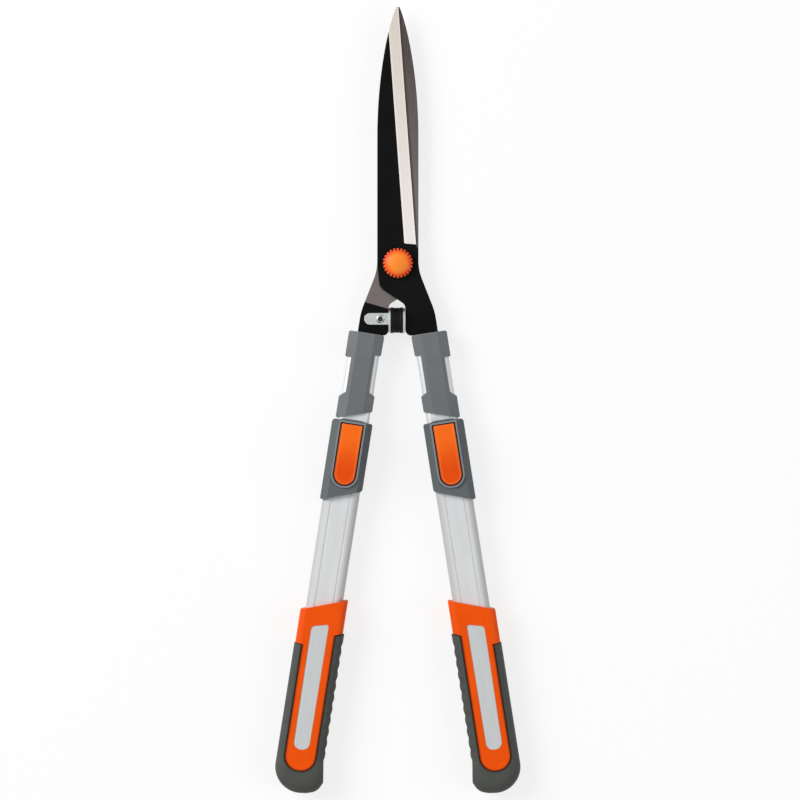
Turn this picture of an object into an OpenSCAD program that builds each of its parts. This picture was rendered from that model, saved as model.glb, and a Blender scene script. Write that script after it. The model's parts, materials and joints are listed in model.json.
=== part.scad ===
// Telescopic hedge shears, lying on their backs with the blades closed and the handles pushed in.
//
// X runs across the shears, Y towards the blade tips and Z up. Everything is drawn around the pivot,
// with z = 0 where the two blades meet, and row_frame() then moves it so that the origin lies on the
// ground under the middle of the whole tool.
//
// A handle is drawn in axes of its own: x from the socket's mouth to the grip's end, y outward and
// z up. The left handle is the mirror image of the right one. The upper blade belongs to the right
// handle and the lower blade to the left.

/* [Blades] */
// Distance from the pivot to the blade tips
blade_reach = 228; // [200:1:260]
// Width across the closed blades
blade_w = 36.6; // [34:0.2:42]
// Thickness of one blade
blade_t = 3.5; // [3:0.1:4.5]
// Length over which a blade narrows to its tip
nose_l = 116; // [90:1:130]
// Width of the ground bevel
bevel_w = 10.2; // [7:0.2:12]
// Thickness left at the cutting edge
edge_t = 0.4; // [0.3:0.1:1]
// Distance from the pivot to the end of the bevel
bevel_start = 16.5; // [15:0.5:30]
// Running gap between the two blades
blade_gap = 0.1; // [0.05:0.05:0.2]

/* [Pivot] */
// Diameter of the pivot bolt
bolt_d = 8; // [6:0.5:9]
// Width across the flats of the bolt's head and nut
hex_af = 13; // [12:0.5:14]
// Height of the bolt's head
head_h = 4.6; // [3:0.2:6]
// Height of the nut inside the knob
nut_h = 5.2; // [4:0.2:6]
// Diameter of the tension knob across its ribs
knob_d = 26.4; // [24:0.2:30]
// Number of ribs round the knob
knob_ribs = 24; // [18:1:28]
// Thickness of a flat washer
washer_t = 1; // [0.8:0.1:1.6]
// Outside diameter of a flat washer
washer_d = 18; // [17:0.5:21]

/* [Bumper] */
// Diameter of the rubber bumper
bumper_d = 23; // [18:0.2:23.4]
// Distance from the pivot back to the bumper's middle
bumper_back = 50.6; // [50.4:0.1:52]
// Thickness of the steel of the bracket and the strike plate
plate_t = 1.8; // [1.2:0.1:2.2]
// Width of the bracket's arms
arm_w = 10.2; // [9:0.2:12]
// Reach of the bracket's arms over the tang
arm_l = 21.6; // [20:0.2:23]
// Distance from the middle of the shears to the upper tang
upper_tang_x = 6.6; // [6:0.1:8]
// Distance from the middle of the shears to the lower tang
lower_tang_x = 8.3; // [7.5:0.1:9]

/* [Handles] */
// Angle between a handle and the middle of the closed shears
splay = 8.9; // [7:0.1:12]
// Distance from the middle of the shears to the socket's mouth
root_x = 27.7; // [26:0.1:32]
// Distance from the pivot back to the socket's mouth
root_back = 62.9; // [61:0.2:66]
// Length of tang inside the socket
tenon_l = 48; // [44:1:54]
// Width of tang inside the socket
tenon_w = 16.4; // [14:0.2:17]
// Travel of the telescopic handle
travel = 150; // [100:5:160]

/* [Tubes] */
// Width of the outer tube
tube_w = 32; // [31:0.2:33]
// Thickness of the outer tube
tube_t = 19.2; // [18:0.2:20]
// Radius of the outer tube's long edges
tube_round = 6.6; // [6:0.1:9]
// Wall of the outer tube
outer_wall = 1.5; // [1.2:0.1:2]
// Wall of the inner tube
inner_wall = 1.4; // [1:0.1:1.8]
// Gap between the inner and the outer tube
slide_gap = 0.4; // [0.3:0.05:0.6]
// Distance from the socket's mouth to the inner tube's far end
inner_end = 318; // [312:1:340]
// Distance from the socket's mouth to the outer tube's far end
outer_end = 388; // [380:1:392]
// Depth of the grooves that run along the outer tube
groove_depth = 0.4; // [0.2:0.05:0.7]

/* [Socket] */
// Wall of the socket beside the inner tube
socket_wall = 1.8; // [1.4:0.1:2.6]
// Wall of the socket over and under the inner tube
socket_cover = 2.8; // [2.5:0.1:4]
// Width of the spine between the collars
spine_w = 20.6; // [17:0.2:23]
// Length of the socket on its outer side
socket_l = 77.4; // [76:0.1:77.6]
// Depth of the slant at the socket's lower end
socket_slant = 9.4; // [4:0.2:11]
// Thickness of the wall round the socket's mouth
mouth_t = 3; // [2:0.2:4]

/* [Lock] */
// Gap between the socket and the lock collar with the handle pushed in
collar_gap = 1; // [0.8:0.1:4]
// Length of the lock collar on its outer side
collar_l = 73.2; // [72:0.2:80]
// Wall of the lock collar beside the outer tube
collar_wall = 2.4; // [2:0.1:3]
// Wall of the lock collar over and under the outer tube
collar_cover = 4.4; // [4:0.1:5]
// Depth of the slant at the collar's lower end
collar_slant = 12.6; // [6:0.2:13]
// Width of the lever
lever_w = 19; // [17:0.2:20]
// Length of the lever
lever_l = 54; // [52:0.2:56]
// Thickness of the lever
lever_t = 4.6; // [4:0.1:5]
// Gap round the lever
lever_gap = 1; // [0.5:0.1:1.1]
// Width of the raised rim round the lever
rim_w = 1.5; // [0.8:0.1:1.7]
// Height of the raised rim
rim_h = 1.8; // [1:0.1:2]
// Diameter of the lever's pin
pin_d = 2.6; // [2:0.1:3]
// Throw of the cam
cam_throw = 1; // [0.8:0.1:1.2]

/* [Grip] */
// Distance from the socket's mouth to the grip's near end, on its inner side
grip_start = 236; // [230:1:244]
// Distance from the socket's mouth to the grip's far end
grip_end = 412; // [410:1:424]
// Thickness of the grip's soft cover beside the tube
grip_side = 5.1; // [4.8:0.1:7]
// Thickness of the grip over and under the tube
grip_cover_t = 4.4; // [4:0.1:6]
// Thickness of the hard core beside the tube at the near end
core_side = 4.3; // [3.6:0.1:4.7]
// Width of the hard core's raised panel
panel_w = 27; // [24:0.2:29]
// Radius of the hard core's long edges at the near end
grip_round = 6; // [4:0.5:8]
// Thickness of the trim plate
inlay_t = 0.9; // [0.6:0.1:1.2]
// Width of the trim plate
inlay_w = 15.3; // [12:0.2:17]
// Number of finger ridges
ridges = 11; // [8:1:12]
// Height of a finger ridge
ridge_h = 0.9; // [0.4:0.1:1.4]

/* [Fasteners] */
// Diameter of the screws through the socket
socket_screw_d = 4; // [3:0.2:4.4]
// Diameter of the screws in the lock collar
collar_screw_d = 2.6; // [2:0.1:3]
// Diameter of the bracket's bolt
bracket_bolt_d = 4; // [3:0.2:4.6]

/* [Hidden] */
$fn = 48;
RIGHT = 1;
LEFT = -1;

// Clearances
fit = 0.03;           // between pieces that are fixed together
run = 0.05;           // radial, between a shaft and what turns on it
near = 0.1;           // between flat faces that slide or press on each other
over = 1;             // how far a cut runs past what it cuts

// Heights above the plane where the blades meet
blade_top = blade_gap / 2 + blade_t;
washer_top = blade_top + near + washer_t;
wave_t = 0.5;
knob_z = washer_top + wave_t + 2 * near;
nut_z = knob_z + near;
nut_top = nut_z + nut_h;
bolt_top = nut_top + 0.8;
knob_top = bolt_top + 2.4;
head_z = -blade_top - washer_t;
shaft_r = bolt_d / 2;
rib_l = 2.4;          // how far the ribs stand out from the dome
rib_foot = 0.9;       // how far they stand out from the knob's wider foot
dome_r = knob_d / 2 - rib_l;
dome_h = 2.8;
crown_h = 1.8;        // how far the ribs slope down outward
rib_root = 1.4;       // width of a rib beside the dome and at its tip
rib_tip = 1.9;

// Bumper
arm_back = bumper_back - 1.2;                    // the arms sit a little nearer the pivot
bracket_bolt_x = -lower_tang_x - 7.3;
bumper_hole_d = bracket_bolt_d + 2 * fit;
bumper_x = -lower_tang_x + plate_t + 2 * fit;
strike_x = upper_tang_x - 2 * near - plate_t;
bumper_head_d = bracket_bolt_d * 1.8;
bolt_head_r = bracket_bolt_d * 0.98;
bolt_head_h = 1.9;
bolt_key = bracket_bolt_d * 1.1;                 // across the flats of the socket in its head
bolt_key_depth = 1.2;
bracket_nut_h = 2.8;

// Blade outline
hip_back = 21.6;      // from the pivot to the corner under the boss
hip_in = 2.2;         // how far that corner leans in
hip_r = 10;
crotch_back = 36.8;   // where the tang's inner edge starts
crotch_r = 6;
waist_back = 6;       // where the tang starts to lean out
waist_r = 50;
shoulder = 1;         // how far short of the handle's origin the tang's shoulder stops
shoulder_r = 7;
elbow = 19;           // where the tang's outer edge turns along the handle
elbow_r = 60;
heel_in = 2.2;        // step in the outline where the bevel starts
heel_rise = 4.5;
nose_power = 0.84;
tip_half = 1.2;       // half the width of the closed blades at their blunt tips
tip_x = 0.4;          // how far the cutting edge runs past the middle there
nose_steps = 26;

// Tube sections
inner_w = tube_w - 2 * (outer_wall + slide_gap);
inner_t = tube_t - 2 * (outer_wall + slide_gap);
bore_w = inner_w - 2 * inner_wall;
bore_t = inner_t - 2 * inner_wall;
groove_in = 7.9;      // from the tube's side to the middle of its grooves
groove_y = tube_w / 2 - groove_in;
groove_w = 1.6;
socket_w = inner_w + 2 * socket_wall;
socket_t = inner_t + 2 * socket_cover;
collar_w = tube_w + 2 * collar_wall;
collar_t = tube_t + 2 * collar_cover;
grip_w = tube_w + 2 * grip_side;
grip_t = tube_t + 2 * grip_cover_t;
core_w = tube_w + 2 * core_side;
socket_flat = 14.6;   // width of the socket's front and back faces
socket_side = 12;     // height of the socket's side faces
inner_start = mouth_t - 1.5;

// Socket outline
collar1_in = 17.6;    // where the upper collar ends, on the inner and the outer side
collar1_out = 22.4;
collar2_in = 51;      // where the lower collar starts
collar2_out = 53.4;
collar2_ramp = 2.8;
collar2_ramp_out = 4.6;
socket_in = 0.4;      // how much narrower the inner side is than the outer

// Screws through the socket
screw_at = [13, 38];
screw_head_d = 7.2;
screw_head_h = 1.6;
screw_key = 2.5;                              // width of the key socket in the head
screw_tip = bore_t / 2 - 1.6;
key_depth = 1;                                // depth of the screws' key sockets

// Glide plug at the inner tube's far end
plug_spigot = 14;
plug_head = 5;
plug_gap = 0.15;

// Lock
collar_start = socket_l + collar_gap;
ring_l = 12;                                  // length of the collar that guides the inner tube
outer_start = collar_start + ring_l + near;
pin_x = collar_start + 6;
barrel_r = 3;
pin_z = collar_t / 2 - 0.5;
lever_top = pin_z + barrel_r;
floor_gap = 0.4;
pocket_floor = lever_top - lever_t - floor_gap;
cam_r = 2.6;
cam_lead = 30;                                // angle of the cam's lobe past straight down
cam_low = pin_z - cam_r - cam_throw * cos(cam_lead);
shoe_w = 11.4;
shoe_l = 6;
shoe_bottom = inner_t / 2 + near;
shoe_top = cam_low - near;
lever_start = pin_x - barrel_r;
lever_end = lever_start + lever_l;
collar_end = collar_start + collar_l;
collar_flat = 25.6;                           // width of the collar's front and back faces
collar_side = 15;                             // height of the collar's side faces
collar_arch = 1.4;                            // how far the collar's upper end bulges in the middle
collar_in = 0.7;                              // how much narrower its inner side is than the outer
collar_mouth = collar_start - collar_arch - over;
collar_screw_at = [18, 54];                   // from the collar's start
collar_screw_head_d = 5;
collar_screw_head_h = 1.8;
collar_screw_key = 2;
collar_screw_tip = inner_t / 2 - inner_wall;
slot_gap = 0.4;
pin_l = lever_w + 2 * lever_gap + 2 * rim_w - 0.6;

// Grip
grip_slant = 14.2;
strip_in = 266;                               // where the soft cover starts on each side
strip_out = 279.6;
strip_slant = 2.4;
panel_end = 391.7;
panel_r = 13;
seam = 0.7;
sleeve_wall = 1.9;                            // hard core round the tube, under the cover
sleeve_end = outer_end + 4;
end_r = 23.4;                                 // radius of the grip's far end
end_at = [grip_end - end_r, grip_w / 2 - end_r];
heel_r = 12;                                  // radius of the corner on its inner side
heel_at = end_at + [9.9, -8.5];
heel_less = 0.4;                              // how much thinner the cover is at that corner
heel_bulge = 0.3;                             // how far the outline swells between the two rounds
cover_round = 11;                             // radius of the soft cover's edges
heel_flare = 8.4;                             // angle at which the cover widens to its heel
ridge_pitch = 10.22;
ridge_start = 268.3;
ridge_steps = 6;
neck = ridge_start + ridges * ridge_pitch + 0.5;  // where the cover starts to widen to the heel
inlay_start = 259.6;
inlay_slant = 3.8;
inlay_end = 372.9;
inlay_depth = 0.3;                            // how far the trim lies below the core's face

// Colours
steel_black = [0.07, 0.07, 0.07];
steel_bright = [0.86, 0.85, 0.83];
alloy = [0.82, 0.83, 0.84];
nylon_grey = [0.42, 0.44, 0.45];
rubber_grey = [0.3, 0.3, 0.28];
rubber_black = [0.12, 0.12, 0.12];
orange = [0.95, 0.36, 0.08];

// ---------------------------------------------------------------- outlines

// The direction from one point to another
function towards(a, b) = (b - a) / norm(b - a);

// The arc that rounds corner b, between a and c. Each point is [x, y, radius], and the radius is
// limited to what the shorter side can hold.
function corner_arc(a, b, c, steps) =
    let (
        p = [b.x, b.y],
        d1 = towards(p, [a.x, a.y]),
        d2 = towards(p, [c.x, c.y]),
        half = acos(max(-1, min(1, d1 * d2))) / 2,
        room = 0.48 * min(norm([a.x, a.y] - p), norm([c.x, c.y] - p)),
        cut = min(b[2] / tan(half), room),
        r = cut * tan(half),
        centre = p + towards([0, 0], d1 + d2) * r / sin(half),
        from = p + d1 * cut - centre,
        to = p + d2 * cut - centre,
        start = atan2(from.y, from.x),
        turn = atan2(from.x * to.y - from.y * to.x, from * to)
    )
    b[2] == 0 ? [p]
    : [for (i = [0 : steps]) centre + r * [cos(start + turn * i / steps), sin(start + turn * i / steps)]];

// An outline whose corners are rounded by their own radii
function rounded(corners, steps = 6) =
    let (n = len(corners))
    [for (i = [0 : n - 1])
        each corner_arc(corners[(i + n - 1) % n], corners[i], corners[(i + 1) % n], steps)];

// A rectangle about the origin with rounded corners
function rounded_box(w, t, r) =
    rounded([[w / 2, t / 2, r], [-w / 2, t / 2, r], [-w / 2, -t / 2, r], [w / 2, -t / 2, r]], 8);

// An octagon about the origin, from its full size, its flat faces' width and its sides' height
function octagon(w, t, flat, side, r) =
    rounded([
        [flat / 2, t / 2, r], [-flat / 2, t / 2, r], [-w / 2, side / 2, r], [-w / 2, -side / 2, r],
        [-flat / 2, -t / 2, r], [flat / 2, -t / 2, r], [w / 2, -side / 2, r], [w / 2, side / 2, r]
    ], 3);

// A point of the right handle in the axes of the blades
function on_axes(x, y) = [
    root_x + x * sin(splay) + y * cos(splay),
    -root_back - x * cos(splay) + y * sin(splay)
];

// The same with a corner radius
function tang_corner(x, y, r) = concat(on_axes(x, y), [r]);

// Half the width of the closed blades at a distance from the tip
function nose_half(d) = tip_half + (blade_w / 2 - tip_half) * pow(1 - pow(1 - d / nose_l, 2), nose_power);

// The blade's outline, from its tip down its back, round its tang and up its edge
function blade_outline(tang_x) =
    let (shoulder_y = (tang_x - root_x + shoulder * sin(splay)) / cos(splay))
    rounded(concat(
        [[tip_x, blade_reach, 0]],
        [for (i = [0 : nose_steps]) let (d = nose_l * pow(i / nose_steps, 1.6))
            [-nose_half(d), blade_reach - d, 0]],
        [
            [-blade_w / 2, 0, 20],
            [-blade_w / 2 + hip_in, -hip_back, hip_r],
            [tang_x, -crotch_back, crotch_r],
            tang_corner(-shoulder, shoulder_y, shoulder_r),
            tang_corner(-shoulder, -tenon_w / 2, 0),
            tang_corner(tenon_l, -tenon_w / 2, 2),
            tang_corner(tenon_l, tenon_w / 2, 2),
            tang_corner(-elbow, tenon_w / 2, elbow_r),
            [blade_w / 2, -waist_back, waist_r],
            [blade_w / 2, bevel_start - heel_rise, 2],
            [blade_w / 2 - heel_in, bevel_start, 0]
        ]
    ));

// ---------------------------------------------------------------- placing

module row_frame() {
    tail = on_axes(end_at.x, end_at.y).y - end_r;
    translate([0, -(blade_reach + tail) / 2, max(grip_t, collar_t) / 2]) children();
}

// Puts a right-hand piece, drawn in the handle's axes, on one side of the shears
module on_handle(side) {
    row_frame()
        mirror([side == LEFT ? 1 : 0, 0, 0])
            translate([root_x, -root_back, 0])
                rotate([0, 0, splay - 90])
                    children();
}

// Sweeps a section, drawn across the handle, along it
module bar(from, to) {
    translate([from, 0, 0]) rotate([90, 0, 90]) linear_extrude(to - from) children();
}

// Sweeps an outline, seen from above, over a stretch of height
module slab(from, to) {
    translate([0, 0, from]) linear_extrude(to - from) children();
}

// The outer tube's section, or one of this size whose sides run level with it
module tube_section(w, t) {
    r = tube_round - (tube_t - t) / 2;
    square([w - 2 * r, t], center = true);
    square([w, t - 2 * r], center = true);
    for (x = [-1, 1], y = [-1, 1]) translate([x * (w / 2 - r), y * (t / 2 - r)]) circle(r = r);
}

// A screw that stands on z = 0 with its head down
module screw(d, length, head_d, head_h, key) {
    difference() {
        cylinder(d = head_d, h = head_h);
        translate([0, 0, -over]) hexagon(key, key_depth + over);
    }
    translate([0, 0, key_depth]) cylinder(d = d, h = length - key_depth);
}

// ---------------------------------------------------------------- blades and pivot

module bevel_cut() {
    low = [blade_w / 2 - heel_in, bevel_start];
    along = towards(low, [tip_x, blade_reach]);
    inward = [-along.y, along.x];
    tilt = atan((blade_t - edge_t) / bevel_w);
    far = blade_reach * 1.2;
    intersection() {
        translate([low.x, low.y, blade_gap / 2 + edge_t])
            rotate([0, 0, atan2(along.y, along.x) - 90])
                rotate([0, tilt, 0])
                    translate([-bevel_w * 2, -bevel_w, 0])
                        cube([bevel_w * 3, far, bevel_w]);
        slab(-over, blade_top + bevel_w)
            polygon(rounded([
                concat(low - inward * over * 3 - along * over * 0.3, [0]),
                concat(low - inward * over * 3 + along * far, [0]),
                concat(low + inward * bevel_w * 1.5 + along * far, [0]),
                concat(low + inward * bevel_w * 1.04 + along * over * 1.8, [2.4])
            ]));
    }
}

module blade(tang_x) {
    difference() {
        slab(blade_gap / 2, blade_top) polygon(blade_outline(tang_x));
        bevel_cut();
        translate([0, 0, -over]) cylinder(r = shaft_r + run, h = blade_top + 2 * over);
        for (x = screw_at)
            translate([on_axes(x, 0).x, on_axes(x, 0).y, -over])
                cylinder(d = socket_screw_d + 2 * fit, h = blade_top + 2 * over);
    }
}

module upper_blade() {
    color(steel_black) row_frame() blade(upper_tang_x);
}

module lower_blade() {
    color(steel_black) row_frame() difference() {
        rotate([0, 180, 0]) blade(lower_tang_x);
        translate([bracket_bolt_x, -arm_back, -blade_top - over])
            cylinder(d = bracket_bolt_d + 2 * fit, h = blade_top + 2 * over);
    }
}

module hexagon(af, h) {
    cylinder(d = af / cos(30), h = h, $fn = 6);
}

module pivot_bolt() {
    color(steel_bright) row_frame() {
        translate([0, 0, head_z - head_h]) hexagon(hex_af, head_h);
        translate([0, 0, head_z - head_h / 2]) cylinder(r = shaft_r, h = bolt_top - head_z + head_h / 2);
    }
}

module washer(z, d, t) {
    translate([0, 0, z]) difference() {
        cylinder(d = d, h = t);
        translate([0, 0, -over]) cylinder(r = shaft_r + run, h = t + 2 * over);
    }
}

module back_washer() {
    color(steel_bright) row_frame() washer(head_z + fit, washer_d, washer_t - 2 * fit);
}

module front_washer() {
    color(steel_bright) row_frame() washer(blade_top + near, washer_d, washer_t);
}

module wave_washer() {
    color(steel_bright) row_frame() washer(washer_top + fit, hex_af, wave_t);
}

module pivot_nut() {
    color(steel_bright) row_frame() difference() {
        translate([0, 0, nut_z]) hexagon(hex_af, nut_h);
        translate([0, 0, nut_z - over]) cylinder(r = shaft_r + run, h = nut_h + 2 * over);
    }
}

module tension_knob() {
    knob_r = knob_d / 2;
    height = knob_top - knob_z;
    ball_r = (dome_r * dome_r + dome_h * dome_h) / (2 * dome_h);
    dome_turn = asin(dome_r / ball_r);
    color(orange) row_frame() difference() {
        translate([0, 0, knob_z]) {
            rotate_extrude($fn = 96)
                polygon(concat(
                    [[0, 0], [knob_r - rib_foot, 0]],
                    [for (i = [0 : 12]) [
                        ball_r * sin(dome_turn * (1 - i / 12)),
                        height - ball_r + ball_r * cos(dome_turn * (1 - i / 12))
                    ]]
                ));
            intersection() {
                rotate_extrude($fn = 96)
                    polygon([
                        [0, 0],
                        [knob_r, 0],
                        [knob_r, height - dome_h - crown_h],
                        [dome_r, height - dome_h],
                        [0, height - dome_h]
                    ]);
                for (i = [0 : knob_ribs - 1])
                    rotate([0, 0, i * 360 / knob_ribs])
                        linear_extrude(height)
                            polygon([
                                [dome_r - over, -rib_root / 2], [knob_r + over, -rib_tip / 2],
                                [knob_r + over, rib_tip / 2], [dome_r - over, rib_root / 2]
                            ]);
            }
        }
        translate([0, 0, knob_z - over]) hexagon(hex_af + 2 * fit, nut_top - knob_z + over + fit);
        translate([0, 0, knob_z]) cylinder(r = shaft_r + 2 * run, h = bolt_top - knob_z + near);
    }
}

// ---------------------------------------------------------------- bumper

// The round plates and the rubber share one axis, across the shears
module disc(x, d, t) {
    translate([x, -bumper_back, 0]) rotate([0, 90, 0]) cylinder(d = d, h = t);
}

module bracket_arm() {
    reach = arm_l - arm_w / 2;
    translate([-lower_tang_x - reach, -arm_back]) {
        circle(d = arm_w);
        translate([0, -arm_w / 2]) square([reach + plate_t / 2, arm_w]);
    }
}

module bumper_bracket() {
    color(steel_bright) row_frame() {
        difference() {
            union() {
                slab(-blade_gap / 2 + fit, plate_t) bracket_arm();
                slab(-blade_top - fit - plate_t, -blade_top - fit) bracket_arm();
            }
            translate([bracket_bolt_x, -arm_back, -blade_top - plate_t - over])
                cylinder(d = bracket_bolt_d + 2 * fit, h = blade_top + 2 * plate_t + 2 * over);
            disc(-lower_tang_x + fit, bumper_hole_d, plate_t + over);
        }
        difference() {
            disc(-lower_tang_x + fit, bumper_d - 0.6, plate_t);
            disc(-lower_tang_x - over, bumper_hole_d, plate_t + 2 * over);
        }
    }
}

module bumper() {
    groove = 0.35;
    length = strike_x - fit - bumper_x;
    color(rubber_black) row_frame()
        translate([bumper_x, -bumper_back, 0])
            rotate([0, 90, 0])
                rotate_extrude()
                    polygon([
                        [bumper_hole_d / 2, 0],
                        [bumper_d / 2, 0],
                        [bumper_d / 2, length * 0.2],
                        [bumper_d / 2 - groove, length * 0.24],
                        [bumper_d / 2 - groove, length * 0.76],
                        [bumper_d / 2, length * 0.8],
                        [bumper_d / 2, length],
                        [bumper_hole_d / 2, length]
                    ]);
}

module strike_plate() {
    color(steel_bright) row_frame() difference() {
        disc(strike_x, bumper_d - 0.6, plate_t);
        disc(strike_x - over, bumper_hole_d, plate_t + 2 * over);
        disc(strike_x + plate_t / 3, bumper_head_d + 2 * fit, plate_t);
    }
}

module bumper_screw() {
    head_t = plate_t * 2 / 3 - 2 * fit;
    end = strike_x + plate_t - fit;
    start = -lower_tang_x + 2 * fit;
    color(steel_bright) row_frame() {
        disc(end - head_t, bumper_head_d, head_t);
        disc(start, bracket_bolt_d, end - start);
    }
}

module bracket_bolt() {
    ball_r = (bolt_head_r * bolt_head_r + bolt_head_h * bolt_head_h) / (2 * bolt_head_h);
    length = blade_top + 2 * plate_t + bracket_nut_h;
    key_floor = bolt_head_h - bolt_key_depth;
    color(steel_bright) row_frame()
        translate([bracket_bolt_x, -arm_back, plate_t + fit]) {
            difference() {
                intersection() {
                    cylinder(r = bolt_head_r, h = bolt_head_h);
                    translate([0, 0, bolt_head_h - ball_r]) sphere(r = ball_r);
                }
                translate([0, 0, key_floor]) hexagon(bolt_key, bolt_head_h);
            }
            translate([0, 0, -length]) cylinder(d = bracket_bolt_d, h = length + key_floor);
        }
}

module bracket_nut() {
    color(steel_bright) row_frame()
        translate([bracket_bolt_x, -arm_back, -blade_top - plate_t - 2 * fit - bracket_nut_h])
            difference() {
                hexagon(bracket_bolt_d * 1.75, bracket_nut_h);
                translate([0, 0, -over])
                    cylinder(d = bracket_bolt_d + 2 * fit, h = bracket_nut_h + 2 * over);
            }
}

// ---------------------------------------------------------------- socket and inner tube

// The tang of this side lies just over or just under the plane where the blades meet
function tang_z(side) = side == RIGHT ? blade_gap / 2 : -blade_top;

module tang_slot(side, from, to) {
    slack = 2 * fit;
    translate([from, -tenon_w / 2 - slack, tang_z(side) - slack])
        cube([to - from, tenon_w + 2 * slack, blade_t + 2 * slack]);
}

function socket_outline() = rounded([
    [-shoulder + fit, -socket_w / 2, 2],
    [collar1_in, -socket_w / 2 + socket_in, 1.2],
    [collar1_in, -spine_w / 2, 0.8],
    [collar2_in, -spine_w / 2, 0.8],
    [collar2_in + collar2_ramp, -socket_w / 2 + socket_in, 1.2],
    [socket_l - socket_slant, -socket_w / 2 + socket_in, 1.4],
    [socket_l, socket_w / 2, 1],
    [collar2_out + collar2_ramp_out, socket_w / 2, 1.2],
    [collar2_out, spine_w / 2, 0.8],
    [collar1_out, spine_w / 2, 0.8],
    [collar1_out, socket_w / 2, 1.2],
    [-shoulder + fit, socket_w / 2, 2]
]);

module socket(side) {
    color(nylon_grey) on_handle(side) difference() {
        intersection() {
            slab(-socket_t, socket_t) polygon(socket_outline());
            bar(-shoulder * 2, socket_l + over)
                polygon(octagon(socket_w, socket_t, socket_flat, socket_side, 1.2));
        }
        bar(inner_start - fit, socket_l + 2 * over) tube_section(inner_w + 2 * fit, inner_t + 2 * fit);
        tang_slot(side, -shoulder * 2, inner_start + over);
        for (x = screw_at) {
            translate([x, 0, -socket_t / 2 - over])
                cylinder(d = screw_head_d + 0.4, h = screw_head_h + over);
            translate([x, 0, -socket_t / 2]) cylinder(d = socket_screw_d + 2 * fit, h = socket_t / 2);
        }
    }
}

module tang_insert(side) {
    color(nylon_grey) on_handle(side) difference() {
        bar(inner_start, tenon_l + 6) tube_section(bore_w - 2 * fit, bore_t - 2 * fit);
        tang_slot(side, inner_start - over, tenon_l + 4 * fit);
        for (x = screw_at)
            translate([x, 0, -socket_t])
                cylinder(d = socket_screw_d + 2 * fit, h = socket_t + screw_tip + near);
    }
}

module socket_screws(side) {
    head = -socket_t / 2 + 0.2;
    color(steel_bright) on_handle(side)
        for (x = screw_at)
            translate([x, 0, head])
                screw(socket_screw_d, screw_tip - head, screw_head_d, screw_head_h - 0.2 - fit, screw_key);
}

module inner_tube(side) {
    slot_w = collar_screw_d + 2 * slot_gap;
    slot_from = collar_start + collar_screw_at[0] - slot_w / 2;
    slot_to = collar_start + collar_screw_at[1] + travel + slot_w / 2;
    color(alloy) on_handle(side) difference() {
        bar(inner_start, inner_end) tube_section(inner_w, inner_t);
        bar(inner_start - over, inner_end + over) tube_section(bore_w, bore_t);
        for (x = screw_at) translate([x, 0, -inner_t]) cylinder(d = socket_screw_d + 2 * fit, h = inner_t);
        slab(-inner_t, -bore_t / 4) {
            translate([slot_from, -slot_w / 2]) square([slot_to - slot_from, slot_w]);
            for (x = [slot_from, slot_to]) translate([x, 0]) circle(d = slot_w);
        }
    }
}

module glide_plug(side) {
    color(rubber_black) on_handle(side) difference() {
        union() {
            bar(inner_end - plug_spigot, inner_end + plug_head)
                tube_section(bore_w - 2 * fit, bore_t - 2 * fit);
            bar(inner_end + fit, inner_end + plug_head)
                tube_section(inner_w + 2 * (slide_gap - plug_gap), inner_t + 2 * (slide_gap - plug_gap));
        }
        bar(inner_end - plug_spigot - over, inner_end + 2) tube_section(bore_w - 4, bore_t - 4);
    }
}

// ---------------------------------------------------------------- lock

function lever_outline(extra) = rounded([
    [lever_start - extra, -lever_w / 2 - extra, 1],
    [lever_end + extra, -lever_w / 2 - extra, lever_w / 2 + extra],
    [lever_end + extra, lever_w / 2 + extra, lever_w / 2 + extra],
    [lever_start - extra, lever_w / 2 + extra, 1]
], 10);

function collar_outline() = rounded([
    [collar_start, -collar_w / 2 + collar_in, 2.2],
    [collar_end - collar_slant, -collar_w / 2 + collar_in, 3],
    [collar_end, collar_w / 2, 1.6],
    [collar_start, collar_w / 2, 3],
    [collar_start, 12.6, 3],
    [collar_start - collar_arch, 7.6, 6],
    [collar_start - collar_arch, -7.6, 6],
    [collar_start, -12.6, 3]
]);

module collar_body() {
    intersection() {
        slab(-collar_t, collar_t) polygon(collar_outline());
        bar(collar_mouth, collar_end + over)
            polygon(octagon(collar_w, collar_t, collar_flat, collar_side, 1.6));
    }
    slab(0, collar_t / 2 + rim_h) polygon(lever_outline(lever_gap + rim_w));
}

module lock_collar(side) {
    color(nylon_grey) on_handle(side) difference() {
        collar_body();
        bar(collar_mouth, outer_start) tube_section(inner_w + 2 * slide_gap, inner_t + 2 * slide_gap);
        bar(outer_start - near, collar_end + over) tube_section(tube_w + 2 * fit, tube_t + 2 * fit);
        slab(pocket_floor, collar_t) polygon(lever_outline(lever_gap));
        translate([lever_start - lever_gap, -lever_w / 2 - lever_gap, pin_z - barrel_r - floor_gap])
            cube([2 * barrel_r + 2 * lever_gap, lever_w + 2 * lever_gap, barrel_r + over]);
        translate([pin_x - shoe_l / 2 - near, -shoe_w / 2 - near, 0])
            cube([shoe_l + 2 * near, shoe_w + 2 * near, pin_z]);
        cross_rod(pin_d / 2 + fit, pin_l + 2 * fit);
        for (x = collar_screw_at) translate([collar_start + x, 0, -collar_t / 2 - over]) {
            cylinder(d = collar_screw_head_d + 0.3, h = collar_screw_head_h + over);
            cylinder(d = collar_screw_d + 2 * fit, h = collar_t / 2);
        }
    }
}

// A rod across the handle on the lever's hinge line
module cross_rod(r, length) {
    translate([pin_x, length / 2, pin_z]) rotate([90, 0, 0]) cylinder(r = r, h = length);
}

module lever_pin(side) {
    color(steel_bright) on_handle(side) cross_rod(pin_d / 2, pin_l);
}

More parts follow.
